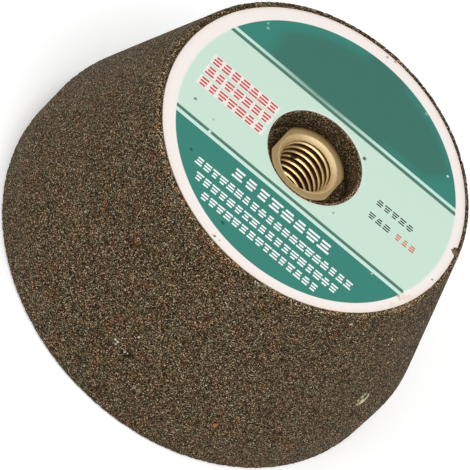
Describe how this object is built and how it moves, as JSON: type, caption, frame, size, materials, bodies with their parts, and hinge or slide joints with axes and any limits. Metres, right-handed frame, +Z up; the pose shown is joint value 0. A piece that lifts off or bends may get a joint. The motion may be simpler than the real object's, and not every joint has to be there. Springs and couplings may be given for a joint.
{
  "type": "cup grinding wheel",
  "caption": "Flaring cup-shaped abrasive grinding stone with a deep bowl, a sunk threaded metal insert and a round paper label on its flat back.",
  "frame": {"origin": "centre of the grinding rim's plane, on the wheel's axis, where the wheel stands", "axes": "+Z up the wheel's axis, from the grinding rim to the labelled back face; +X along the label's bands"},
  "size_m": [0.1, 0.1, 0.0523],
  "materials": {
    "stone": "matte",
    "brass": "satin",
    "paper": "matte"
  },
  "bodies": {
    "root": {"abrasive_cup": "stone", "threaded_insert": "brass", "paper_label": "paper"}
  },
  "joints": []
}
